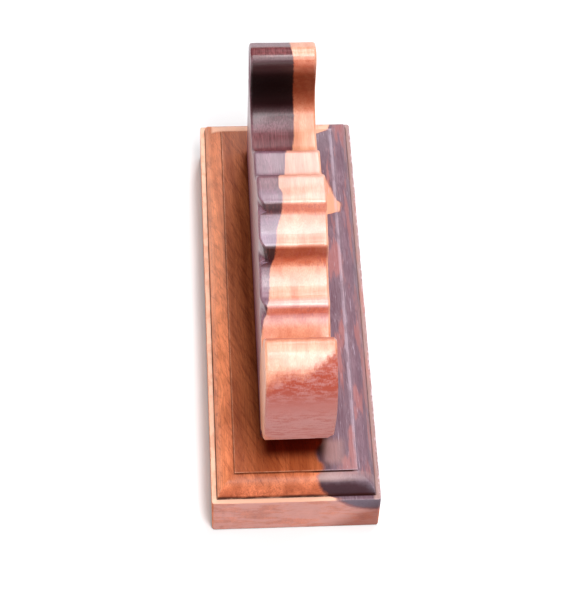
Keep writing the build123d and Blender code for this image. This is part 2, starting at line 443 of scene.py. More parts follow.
@dataclass(frozen=True)
class Tint:
    """A colour that is laid over a zone."""

    colour: Colour
    zone: Zone = Zone()
    way: Way = Way.STAIN
    share: float = 1.0


@dataclass(frozen=True)
class HardwoodFinish:
    """The colours and gloss of an oiled board that is part sapwood and part heartwood."""

    sap_pale: Colour
    sap_deep: Colour
    sap_line: Colour
    heart_pale: Colour
    heart_deep: Colour
    heart_core: Colour
    heart_end: Colour
    end_tint: Colour
    rubbed_sap: Colour
    rubbed_heart: Colour
    # The end-grain pore dots' colour, also laid in recesses as painted shade.
    grime: Colour
    line_share: float = 0.42
    band_share: float = 0.5
    pore_share: float = 0.5
    dot_share: float = 0.45
    line_height: float = 0.5
    dot_depth: float = 0.8
    rub_shares: Edges = (0.35, 0.9)
    roughness_smooth: float = 0.42
    roughness_coarse: float = 0.6
    roughness_end: float = 0.12
    gloss: float = 0.06
    polish: float = 1.0
    polish_left: float = 0.06
    polish_end: float = 0.6
    polish_roughness: float = 0.32
    polish_ior: float = 1.66
    grain_relief: float = 0.00004


@dataclass
class Hardwood(Graph):
    """One board's material: figure, grain, end grain, worn arrises and a satin oil.

    It is its own node graph, and keeps the place in millimetres and the colour so far.
    """

    name: str
    finish: HardwoodFinish
    effects: WoodEffects
    grain_turn: float = 0.0
    line_width: float = 0.35
    band_width: float = 3.0
    waviness: float = 8.0
    # How strongly recesses are darkened as painted shade.
    recess_shade_share: float = 0.6
    softness: float = 0.35
    core_width: float = 2.5
    recess: float = 0.0012
    rub_patches: Specks = Specks(0.35, 0.35, 0.6, 3.0, 0.6)

    def __post_init__(self) -> None:
        """Starts the material and takes the place on it apart."""
        self.material, graph, self.place = new_material(self.name)
        super().__init__(graph.tree)
        self.x, self.y, self.z = self.parts(self.place)
        self.colour: Socket | None = None

    def inside(self, zone: Zone, *shares: object) -> Socket:
        """How far the place is inside a zone, from 0 to 1, times any other shares."""
        sides = ((self.x, zone.x), (self.y, zone.y), (self.z, zone.z))
        return self.times(*[self.band(value, edges) for value, edges in sides if edges], *shares)

    def lay(self, share: Socket, colour: object, way: Way = Way.OVER) -> None:
        """Lays another colour over the colour so far."""
        self.colour = self.blend(share, self.colour, colour, way)

    def tint(self, tint: Tint, *shares: object) -> None:
        """Lays a tint over the colour so far, inside its zone and by any other shares."""
        self.lay(self.inside(tint.zone, *shares, tint.share), tint.colour, tint.way)

    def marks(self, specks: Specks, start: float = 0.0, end: float = 1.0) -> Socket:
        """Where marks show on the board, from one share to another."""
        return self.specks(self.place, specks, start, end)

    def turned(self, degrees: float) -> Socket:
        """The place, turned about the upright axis."""
        values = {"Vector": self.place, "Angle": radians(degrees)}
        return self.first("ShaderNodeVectorRotate", values, rotation_type="Z_AXIS")

    def group(self, tree: Tree, **values: object) -> object:
        """The outputs of a shared group, whose inputs are named here with underscores for spaces."""
        named = {name.replace("_", " "): value for name, value in values.items()}
        return self.node("ShaderNodeGroup", named, node_tree=tree).outputs

    def figure(self) -> Socket:
        """How far each place is inside the heartwood, in millimetres. Each board gives its own."""
        raise NotImplementedError

    def core(self, inside: Socket) -> Socket:
        """Where the heartwood is darkest, from 0 to 1. Each board gives its own."""
        raise NotImplementedError

    def streaks(self) -> None:
        """Lays what only this board has over its colour. Each board gives its own."""
        raise NotImplementedError

    def dulled(self) -> Socket:
        """Where the polish has gone, from 0 to 1. Each board gives its own."""
        raise NotImplementedError

    def build(self) -> Material:
        """Builds the material.

        Returns:
            The material, which reads Object coordinates.
        """
        finish, effects = self.finish, self.effects
        grain = self.group(
            effects.grain,
            Place=self.turned(self.grain_turn),
            Line_Width=self.line_width,
            Band_Width=self.band_width,
            Waviness=self.waviness,
        )
        wear = self.group(effects.wear, Recess=self.recess)
        end = self.group(effects.end_grain, Place=self.place)
        inside = self.figure()
        heart = self.ease(inside, -self.softness, self.softness)

        sap = self.blend(grain["Bands"], finish.sap_pale, finish.sap_deep)
        fine = self.times(self.minus(1.0, grain["Lines"]), finish.line_share)
        sap = self.blend(fine, sap, finish.sap_line)
        sap = self.blend(self.times(grain["Pores"], finish.pore_share), sap, finish.sap_line)
        dark = self.blend(grain["Lines"], finish.heart_deep, finish.heart_pale)
        dark = self.blend(self.times(grain["Bands"], finish.band_share), dark, finish.heart_deep)
        dark = self.blend(end["Cut"], dark, finish.heart_end)
        dark = self.blend(self.core(inside), dark, finish.heart_core)
        sap = self.blend(end["Cut"], sap, finish.end_tint, Way.STAIN)
        self.colour = self.blend(heart, sap, dark)
        self.lay(self.times(end["Dots"], finish.dot_share), finish.grime)
        self.streaks()
        rubbed = self.blend(heart, finish.rubbed_sap, finish.rubbed_heart)
        patches = self.marks(self.rub_patches, *finish.rub_shares)
        self.lay(self.times(wear["Rubbed"], patches), rubbed)
        # Painted shade: recesses darkened by ambient occlusion.
        self.lay(self.times(wear["Recess Shade"], self.recess_shade_share), finish.grime)

        kept = self.ease(self.dulled(), 0.0, 1.0, finish.polish, finish.polish_left * finish.polish)
        oiled = self.ease(end["Cut"], 0.0, 1.0, 1.0, finish.polish_end)
        spread = self.ease(grain["Lines"], 0.0, 1.0, finish.roughness_coarse, finish.roughness_smooth)
        height = self.minus(self.times(grain["Lines"], finish.line_height), grain["Pores"])
        height = self.minus(height, self.times(end["Dots"], finish.dot_depth))
        values = {
            "Base Color": self.colour,
            "Roughness": self.plus(spread, self.times(end["Cut"], finish.roughness_end)),
            "Normal": self.bump(height, finish.grain_relief),
            "Specular IOR Level": finish.gloss,
            "Coat Weight": self.times(wear["Polished"], kept, oiled),
            "Coat Roughness": finish.polish_roughness,
            "Coat IOR": finish.polish_ior,
        }
        self.surface(self.first("ShaderNodeBsdfPrincipled", values))
        return self.material


@dataclass
class UprightWood(Hardwood):
    """The upright's board: pale sapwood, with dark heartwood down its left side."""

    band_width: float = 2.6
    recess_shade_share: float = 0.8
    recess: float = 0.008
    boundary: Line = (
        (-62.0, -17.0), (-49.4, -11.9), (-44.7, -10.7), (-42.0, -9.5), (-34.7, -8.5), (-29.7, -8.3),
        (-27.4, -7.6), (-25.6, -6.2), (-19.0, -5.5), (-13.0, -3.6), (-8.0, -3.3), (-4.4, -4.4),
        (0.0, -4.2), (13.0, -1.1), (21.0, -0.5), (33.0, 3.1), (48.6, 3.9), (59.0, 2.8), (70.0, 2.7),
    )
    nose_edge: Line = (
        (-12.0, -79.8), (-8.9, -78.7), (-4.0, -77.2), (-0.7, -77.3),
        (2.6, -76.5), (5.4, -74.6), (7.7, -73.3), (12.0, -70.2),
    )
    figure_top: float = 66.0
    figure_slope: float = 0.42
    bend_length: float = 36.0
    bend_width: float = 9.0
    riser_feet: tuple[float, ...] = (-43.9, -27.0, -14.0)
    nose_red: Colour = paint(176, 84, 66)
    # Grey mottled through the nose's red, and laid heavier low down as a painted reflection of the white
    # floor.
    nose_grey_sheen: Colour = paint(200, 148, 144)
    torn_red: Colour = paint(168, 84, 76)
    # Painted highlight colour for the treads and lips.
    bloom: Colour = paint(220, 214, 242)
    cut: Zone = Zone(x=(-11.97, -11.6, 11.6, 11.97))
    coves: Zone = Zone(x=(-11.95, -11.3, 11.3, 11.95))
    # Where the painted tread highlight may fall.
    handled: Zone = Zone(x=(-11.95, -11.3, 11.3, 11.95), y=(-48.0, -45.0, 25.0, 27.0))
    deep_throat: Zone = Zone(y=(43.0, 47.5), z=(68.0, 77.0, 88.0, 94.0))
    crown: Zone = Zone(y=(46.0, 50.0), z=(96.6, 97.1))
    riser_shade: Tint = Tint(
        paint(196, 168, 150),
        Zone((-11.98, -11.6, 11.6, 11.98), (-28.1, -27.4, -25.0, -24.3), (80.5, 84.5, 86.4, 88.0)),
    )
    # Painted shade: the throat darkened, where the crest and finial keep the light out.
    throat_shade: Tint = Tint(
        paint(152, 132, 114), Zone(y=(46.0, 50.0, 57.0, 60.0), z=(66.0, 82.0, 88.0, 97.0))
    )
    # Painted shade on the heartwood in the throat.
    throat_heart_shade: Tint = Tint(paint(176, 150, 150), Zone(y=(40.0, 47.0), z=(66.0, 72.0, 86.0, 92.0)))
    saddle_brown: Tint = Tint(paint(248, 236, 214), Zone(y=(25.0, 29.0, 38.0, 44.0)))
    neck_warm: Tint = Tint(paint(250, 236, 230), Zone(y=(-72.0, -66.0, -49.0, -44.0)))
    crown_brown: Tint = Tint(paint(240, 196, 176), Zone(y=(46.0, 50.0), z=(96.0, 96.8)))
    flecks: Specks = Specks((1.1, 0.3, 0.3), 0.5, 0.64, 3.0, 0.7)

    def figure(self) -> Socket:
        """Heartwood left of a line that wanders along the board.

        Returns:
            The distance inside the heartwood, in millimetres.
        """
        depth = self.most(self.minus(self.figure_top, self.z), 0.0)
        bends = self.sway(self.place, (0.06, 0.03, 0.09), self.ease(depth, 0.0, 14.0), 3.0, 0.6)
        slope = self.times(depth, self.figure_slope)
        ahead = self.plus(self.y, slope, self.times(bends, self.bend_length))
        edge = self.plus(self.line(ahead, self.boundary), self.times(bends, self.bend_width))
        fray = self.sway(self.place, (1.6, 0.3, 1.6), 0.9)
        return self.minus(self.plus(edge, fray), self.x)

    def heart(self) -> Socket:
        """The heartwood as a mask."""
        return self.ease(self.figure(), -0.4, 0.4)

    def core(self, inside: Socket) -> Socket:
        """Only a faint seam along the heartwood's edge."""
        return self.ease(inside, 0.2, self.core_width, 0.25, 0.0)

    def nose_front(self) -> Socket:
        """The nose below a ragged line across its top.

        Returns:
            0 above the line to 1 below it.
        """
        ragged = self.sway(self.place, (0.8, 0.5, 0.5), 6.0, 4.0, 0.7)
        edge = self.plus(self.line(self.x, self.nose_edge), ragged)
        return self.ease(self.minus(edge, self.y), -1.8, 2.8)

    def dulled(self) -> Socket:
        """The nose's front, which knocks have dulled, the deep throat, the crown and the steps' coves.

        Returns:
            0 to 1 where the polish has gone.
        """
        crown = self.inside(self.crown, self.heart(), 0.75)
        dull = self.most(self.nose_front(), self.inside(self.deep_throat), crown)
        for foot in self.riser_feet:
            cove = self.inside(Zone(y=(foot - 6.5, foot - 2.0, foot, foot + 2.0)), 0.5)
            dull = self.most(dull, self.inside(self.coves, cove))
        return dull

    def streaks(self) -> None:
        """The nose's torn front, painted shade in the throat, browner heartwood and a painted highlight on
        the treads.
        """
        heart, cut = self.heart(), self.inside(self.cut)
        self.torn_nose()
        self.tint(self.riser_shade)
        self.tint(self.throat_shade, cut)
        self.tint(self.throat_heart_shade, heart, cut)
        self.tint(self.saddle_brown, heart, cut)
        self.tint(self.neck_warm, cut)
        self.torn_grain(cut)
        self.tint(self.crown_brown, heart, cut)
        self.bloomed(heart)

    def torn_nose(self) -> None:
        """The nose's front, where the cut turns the wood red, mottled with grey, and greyer toward the
        bottom as a painted reflection of the white floor.
        """
        mottle = self.noise(self.place, (0.2, 0.5, 0.7), 4.0, 0.62)
        mottle = self.plus(mottle, self.sway(self.place, (2.4, 1.0, 1.6), 0.3))
        red = self.blend(self.ease(mottle, 0.4, 0.66, 0.0, 0.8), self.nose_red, self.nose_grey_sheen)
        pale = self.blend(self.ease(mottle, 0.42, 0.66, 0.0, 0.5), self.nose_grey_sheen, self.nose_red)
        # Painted reflection of the floor: greyer toward the bottom of the nose.
        shade = self.blend(self.ease(self.z, 68.0, 86.0), pale, red)
        self.lay(self.nose_front(), self.blend(0.3, shade, self.colour, Way.STAIN))

    def torn_grain(self, cut: Socket) -> None:
        """Reddish flecks in the risers, where the cutter tore the grain.

        Args:
            cut: The surfaces between the board's sides, as a mask.
        """
        share = self.times(self.marks(self.flecks, 0.0, 0.55), cut, self.ease(self.x, -3.0, 6.0, 0.3, 1.0))
        for foot in self.riser_feet:
            riser = Zone(y=(foot - 3.0, foot - 0.8, foot + 1.0, foot + 2.2))
            self.tint(Tint(self.torn_red, riser, Way.OVER), share)

    def bloomed(self, heart: Socket) -> None:
        """Painted highlight: a pale lavender sheen on the up-facing treads and lips, standing in for the
        lamps' reflection.

        Args:
            heart: The heartwood, as a mask.
        """
        y = self.y
        facing = self.parts(self.node("ShaderNodeNewGeometry").outputs["Normal"])[2]
        tread = self.ease(facing, 0.75, 0.96)
        lip = self.times(self.ease(y, -38.0, -40.5, 0.0, 0.16), self.ease(facing, 0.35, 0.7))
        riser = self.ease(self.away(y, -26.5), 2.0, 4.0, 0.0, 0.035)
        sapwood = self.plus(self.ease(y, -30.0, -24.0, 0.0, 0.05), self.ease(y, -6.0, 0.0, 0.0, 0.03))
        heartwood = self.times(
            self.ease(y, -30.0, -24.0, 0.07, 0.22),
            self.ease(y, -17.0, -13.0, 1.0, 0.5),
            self.ease(y, -8.0, -4.0, 1.0, 0.0),
        )
        heartwood = self.plus(heartwood, self.ease(y, 4.0, 8.0, 0.0, 0.06))
        light = self.plus(self.times(sapwood, tread), riser, lip)
        light = self.times(light, self.minus(1.0, heart))
        share = self.plus(light, self.times(heartwood, tread, heart))
        self.tint(Tint(self.bloom, self.handled, Way.OVER), share)


@dataclass
class PlinthWood(Hardwood):
    """The plinth's board: orange-brown, with a purple-brown heart streak on the right."""

    grain_turn: float = -3.0
    band_width: float = 4.0
    recess_shade_share: float = 0.85
    softness: float = 1.2
    core_width: float = 4.6
    boundary: Line = (
        (-86.5, 13.5), (-85.2, 13.0), (-84.2, 9.6), (-80.5, 7.6), (-77.3, 9.8), (-74.0, 7.9),
        (-70.7, 7.4), (-65.8, 9.8), (-20.0, 9.5), (30.0, 11.0), (34.8, 15.0), (36.5, 20.8), (39.0, 23.0),
        (41.2, 23.2), (43.0, 21.4), (48.0, 19.8), (56.0, 16.7), (64.0, 12.0), (73.0, 12.5),
        (78.0, 20.0), (86.5, 22.0),
    )
    front_patch: Line = (
        (12.0, 21.5), (14.0, 18.8), (16.5, 16.6), (18.8, 14.6), (22.5, 12.6), (26.0, 11.8), (30.0, 11.6),
    )
    lens_top: Line = (
        (7.0, -81.1), (12.0, -81.5), (18.0, -81.6), (22.0, -82.0), (25.0, -83.0), (28.0, -84.7),
        (30.0, -85.6),
    )
    streak_turn: float = -23.0
    moulding_gain: Colour = (1.66, 1.93, 2.45, 1.0)
    heart_gain: Colour = (1.22, 1.22, 1.2, 1.0)
    line_dark: Colour = paint(58, 24, 18)
    # Pale rub marks, also used for the painted highlight along the field's right edge.
    rub_and_highlight_pale: Colour = paint(206, 190, 206)
    streak_brown: Colour = paint(140, 76, 46)
    chip_pale: Colour = paint(222, 196, 202)
    chip_dark: Colour = paint(84, 50, 56)
    streak_specks: Specks = Specks((0.9, 0.08, 0.4), 0.46, 0.7, 4.0, 0.65)
    fleck_specks: Specks = Specks((2.6, 0.4, 2.6), 0.6, 0.7)
    smear_specks: Specks = Specks((0.12, 1.0, 0.5), 0.38, 0.62, 4.0, 0.65)
    gain_specks: Specks = Specks(0.12, 0.35, 0.6, 3.0)
    ledge_specks: Specks = Specks(0.25, 0.35, 0.6)
    warm_specks: Specks = Specks((0.28, 0.045, 0.28), 0.5, 0.62, 3.0, 0.6)
    rub_specks: Specks = Specks((1.5, 0.1, 1.5), 0.58, 0.7, 4.0, 0.7)
    line_specks: Specks = Specks((0.16, 0.16, 0.16), 0.34, 0.62, 4.0)
    torn_specks: Specks = Specks((1.0, 0.55, 1.0), 0.5, 0.62, 3.0, 0.7)
    dot_specks: Specks = Specks((1.6, 1.1, 1.6), 0.58, 0.66)
    seam_zone: Zone = Zone(y=(-79.6, -77.6))
    lens_zone: Zone = Zone(y=(-85.2, -84.5), z=(16.0, 18.0))
    front_face: Zone = Zone(y=(-86.0, -86.4))
    ledge: Zone = Zone(z=(18.3, 18.7, 19.0, 19.5))
    upper: Zone = Zone(z=(18.0, 18.7))
    right_top: Zone = Zone((12.0, 17.0), (-81.0, -77.0))
    right_arris: Zone = Zone(x=(29.1, 29.7), z=(17.8, 18.5))
    back_strip: Zone = Zone(y=(77.8, 79.5), z=(23.4, 24.6))
    left_moulding: Zone = Zone((-21.0, -22.5), (-30.0, 20.0), (18.8, 19.6))
    flame_pale: Tint = Tint(paint(250, 186, 154), Zone((12.0, 16.0), (28.0, 34.0)), Way.OVER, 0.6)
    nose_shade: Tint = Tint(
        paint(120, 60, 40), Zone((-14.0, -9.0, 9.0, 14.0), (-74.5, -69.0, -63.0, -60.0), (24.0, 25.5))
    )
    front_red: Tint = Tint(paint(206, 154, 146), front_face, Way.OVER)
    front_low: Tint = Tint(paint(196, 176, 170), front_face, share=0.95)
    ledge_pale: Tint = Tint(paint(252, 200, 172), way=Way.OVER)
    warm_streak: Tint = Tint(paint(196, 118, 106), right_top, Way.OVER)
    pale_rub: Tint = Tint(rub_and_highlight_pale, right_top, Way.OVER)
    lens_pale: Tint = Tint(paint(200, 164, 152), Zone(y=(-82.4, -80.6, -78.8, -78.0)), Way.OVER)
    smear_pale: Tint = Tint(
        paint(176, 132, 120), Zone((8.1, 12.1, 15.1, 19.1), (-77.5, -73.5, -67.5, -63.5)), Way.OVER, 0.4
    )

    def figure(self) -> Socket:
        """Heartwood right of a line that wanders along the board, and only high up on its front.

        Returns:
            The distance inside the heartwood, in millimetres.
        """
        bends = self.noise(self.place, (0.05, 0.02, 0.12), 3.0, 0.6)
        bends = self.times(self.minus(bends, 0.2), self.ease(self.z, 18.0, 6.0), 26.0)
        edge = self.minus(self.line(self.y, self.boundary), bends)
        fray = self.sway(self.place, (0.8, 0.2, 0.8), 1.8, 3.0, 0.6)
        beside = self.minus(self.plus(self.x, fray), edge)
        floor = self.minus(self.line(self.x, self.front_patch), self.ease(self.y, -85.6, -82.0, 0.0, 60.0))
        above = self.minus(self.plus(self.z, fray), floor)
        return self.folded("MINIMUM", (beside, self.times(above, 0.45)))

    def core(self, inside: Socket) -> Socket:
        """A dark seam along the heartwood's edge, and a dark lens on the front moulding.

        Args:
            inside: The distance inside the heartwood.

        Returns:
            0 to 1 where the heartwood is darkest.
        """
        near_front = self.ease(self.y, -56.0, -64.0)
        width = self.ease(near_front, 0.0, 1.0, 1.6, self.core_width)
        strength = self.ease(near_front, 0.0, 1.0, 0.3, 0.62)
        seam = self.times(
            self.ease(inside, self.times(width, 0.2), width, 1.0, 0.0),
            self.ease(inside, -1.0, 1.8),
            self.inside(self.seam_zone, strength),
        )
        under = self.minus(self.line(self.x, self.lens_top), self.y)
        under = self.plus(under, self.sway(self.place, (0.3, 0.3, 0.3), 1.6))
        lens = self.inside(self.lens_zone, self.ease(under, -1.3, 1.5, 0.0, 0.95))
        return self.most(seam, lens)

    def ring(self, half_width: float, half_length: float, breadth: float) -> Socket:
        """A thin line round the plinth, seen from above.

        Args:
            half_width: How far the line lies to each side.
            half_length: How far it lies to the front and back.
            breadth: How broad it is.

        Returns:
            0 beside the line to 1 on it.
        """
        beside = self.minus(self.away(self.x), half_width)
        beyond = self.minus(self.away(self.y), half_length)
        away = self.away(self.most(beside, beyond))
        return self.ease(away, 0.25 * breadth, 0.6 * breadth, 1.0, 0.0)

    def moulding_lines(self) -> None:
        """Dark lines in the moulding's two inner corners, part old oil and dust and part painted shade,
        thinner in places, and a painted highlight along the field's right edge.
        """
        thin = self.marks(self.line_specks)
        foot = self.inside(
            Zone(z=(20.6, 19.6)), self.ring(28.1, 84.6, 0.5), self.ease(thin, 0.0, 1.0, 0.5, 0.9)
        )
        front = self.inside(Zone((2.0, 8.0), (-77.0, -78.0)))
        # The right side, where the corner line fades and the painted highlight shows.
        worn = self.ease(self.x, 19.6, 21.2)
        step = self.inside(
            Zone(z=(25.95, 25.8)),
            self.ring(21.9, 78.4, 0.55),
            self.ease(front, 0.0, 1.0, 0.4, 0.95),
            self.minus(1.0, worn),
        )
        lines = Zone(z=(17.0, 18.0))
        # Painted shade, with old oil and dust: the dark corner lines.
        self.tint(Tint(self.line_dark, lines, Way.OVER), self.most(foot, step))
        # Painted highlight: the pale line along the field's right edge.
        pale = self.times(
            self.ring(21.4, 78.4, 1.6),
            self.ease(self.y, -77.5, -50.0, 0.4, 1.0),
            worn,
            self.ease(thin, 0.0, 1.0, 0.14, 0.34),
        )
        self.tint(Tint(self.rub_and_highlight_pale, Zone(z=(24.0, 25.0)), Way.OVER), pale)

    def dulled(self) -> Socket:
        """The plinth's sides, which are only oiled."""
        return self.ease(self.z, 18.6, 17.0)

    def streaks(self) -> None:
        """All that only the plinth has, none of it on the underside."""
        plain = self.colour
        outside = self.ease(self.figure(), -0.5, 0.5, 1.0, 0.0)
        self.slanting_streaks()
        self.cut_faces(outside)
        self.pale_ledges(outside)
        self.tint(self.warm_streak, self.marks(self.warm_specks, 0.0, 0.4))
        self.tint(self.pale_rub, self.marks(self.rub_specks, 0.0, 0.4))
        inside = self.inside(self.upper, self.minus(1.0, outside))
        self.tint(self.lens_pale, self.ease(self.x, 24.0, 10.0, 0.15, 0.5), inside)
        self.tint(self.smear_pale, inside)
        self.moulding_lines()
        self.chipped_arris()
        self.lay(self.ease(self.z, 0.6, 0.2), plain)

    def slanting_streaks(self) -> None:
        """Brown streaks that slant across the left of the board, with brown flecks all over."""
        slanted = self.turned(self.streak_turn)
        left = self.ease(self.x, 2.0, -6.0, 0.0, 0.42)
        brown = self.times(self.specks(slanted, self.streak_specks), left)
        for share in (brown, self.specks(slanted, self.fleck_specks, 0.0, 0.3)):
            self.lay(share, self.streak_brown, Way.STAIN)

    def cut_faces(self, sap: Socket) -> None:
        """The paler moulding, the shade under the nose, and the pinkish cut front.

        Args:
            sap: The sapwood, as a mask.
        """
        gain = self.blend(sap, self.heart_gain, self.moulding_gain)
        cut = self.times(self.ease(self.z, 25.9, 25.3), self.marks(self.gain_specks, 0.55, 1.0))
        self.lay(cut, gain, Way.STAIN)
        self.tint(self.flame_pale, sap)
        self.tint(self.nose_shade)
        smear = self.ease(self.marks(self.smear_specks), 0.0, 1.0, 0.5, 0.85)
        self.tint(self.front_red, smear, sap)
        low = self.ease(self.minus(self.x, self.z), 6.0, 20.0)
        self.tint(self.front_low, low)

    def pale_ledges(self, sap: Socket) -> None:
        """Where the ledges, the back strip and the left moulding are rubbed pale.

        Args:
            sap: The sapwood, as a mask.
        """
        rubbed = self.marks(self.ledge_specks, 0.6, 0.95)
        rubbed = self.most(rubbed, self.ease(self.y, -83.0, -84.6, 0.0, 0.95))
        self.tint(self.ledge_pale, self.inside(self.ledge, sap, rubbed))
        right = self.inside(self.ledge, self.ease(self.x, 27.0, 28.0), 0.25)
        self.tint(self.ledge_pale, right)
        back = self.inside(self.back_strip, sap, 0.8)
        left = self.inside(self.left_moulding, 0.15)
        self.tint(self.ledge_pale, self.most(back, left))

    def chipped_arris(self) -> None:
        """Pale torn spots with dark dots along the right edge."""
        arris = self.inside(self.right_arris, 0.75)
        for specks, chip in ((self.torn_specks, self.chip_pale), (self.dot_specks, self.chip_dark)):
            self.lay(self.times(self.marks(specks), arris), chip)


@dataclass(frozen=True)
class BrassFinish:
    """Turned brass, dulled by handling."""

    name: str = "Screw brass"
    bright: Colour = paint(214, 178, 104)
    dull: Colour = paint(142, 104, 52)
    roughness_bright: float = 0.26
    roughness_dull: float = 0.55
    turning_relief: float = 0.00002

    def build(self) -> Material:
        """Builds the material.

        Returns:
            Brass with turning marks and tarnish.
        """
        material, graph, place = new_material(self.name)
        tarnish = graph.specks(place, Specks(0.5, 0.4, 0.65, 4.0, 0.6))
        marks = graph.noise(place, (0.3, 0.3, 9.0))
        values = {
            "Base Color": graph.blend(tarnish, self.bright, self.dull),
            "Roughness": graph.ease(tarnish, 0.0, 1.0, self.roughness_bright, self.roughness_dull),
            "Normal": graph.bump(marks, self.turning_relief),
            "Metallic": 1.0,
        }
        graph.surface(graph.first("ShaderNodeBsdfPrincipled", values))
        return material


@dataclass(frozen=True)
class BeechFinish:
    """Bare turned beech with its short dark flecks."""

    name: str = "Dowel beech"
    pale: Colour = paint(214, 176, 132)
    deep: Colour = paint(184, 138, 96)
    fleck: Colour = paint(132, 84, 54)
    roughness: float = 0.7
    line_relief: float = 0.00005

    def build(self) -> Material:
        """Builds the material.

        Returns:
            Beech with its grain upright, along the dowel.
        """
        material, graph, place = new_material(self.name)
        lines = graph.noise(place, (1.8, 1.8, 0.1), 3.0, 0.6)
        colour = graph.blend(graph.ease(lines, 0.35, 0.65), self.pale, self.deep)
        flecks = graph.specks(place, Specks((4.0, 4.0, 0.5), 0.62, 0.7, 1.0), 0.0, 0.7)
        values = {
            "Base Color": graph.blend(flecks, colour, self.fleck),
            "Roughness": self.roughness,
            "Normal": graph.bump(lines, self.line_relief, 0.6),
        }
        graph.surface(graph.first("ShaderNodeBsdfPrincipled", values))
        return material


def dress(node_name: str, material: Material) -> Piece:
    """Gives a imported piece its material.

    Args:
        node_name: The piece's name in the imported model.
        material: What it is dressed in.

    Returns:
        The piece.
    """
    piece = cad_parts[node_name]
    piece.data.materials.clear()
    piece.data.materials.append(material)
    for face in piece.data.polygons:
        face.use_smooth = True
    return piece


@dataclass(frozen=True)
class WearMarks:
    """How far hand tools and use have changed one board, in metres."""

    half_width: float
    half_length: float
    sole: float
    waver: float
    rub: float
    chip: float = 0.0
    chips_from: float = 1.0
    ease: float = 0.0
    ease_reach: float = 0.006
    ease_run: float = 0.0065
    step_fronts: Point = (0.0, 0.0, 0.0)
    step_feet: Point = (0.0, 0.0, 0.0)
    reach: float = 0.0015

    def sockets(self) -> dict[str, float | Point]:
        """The values, by the names of the tree's inputs."""
        return {name.replace("_", " ").title(): value for name, value in asdict(self).items()}


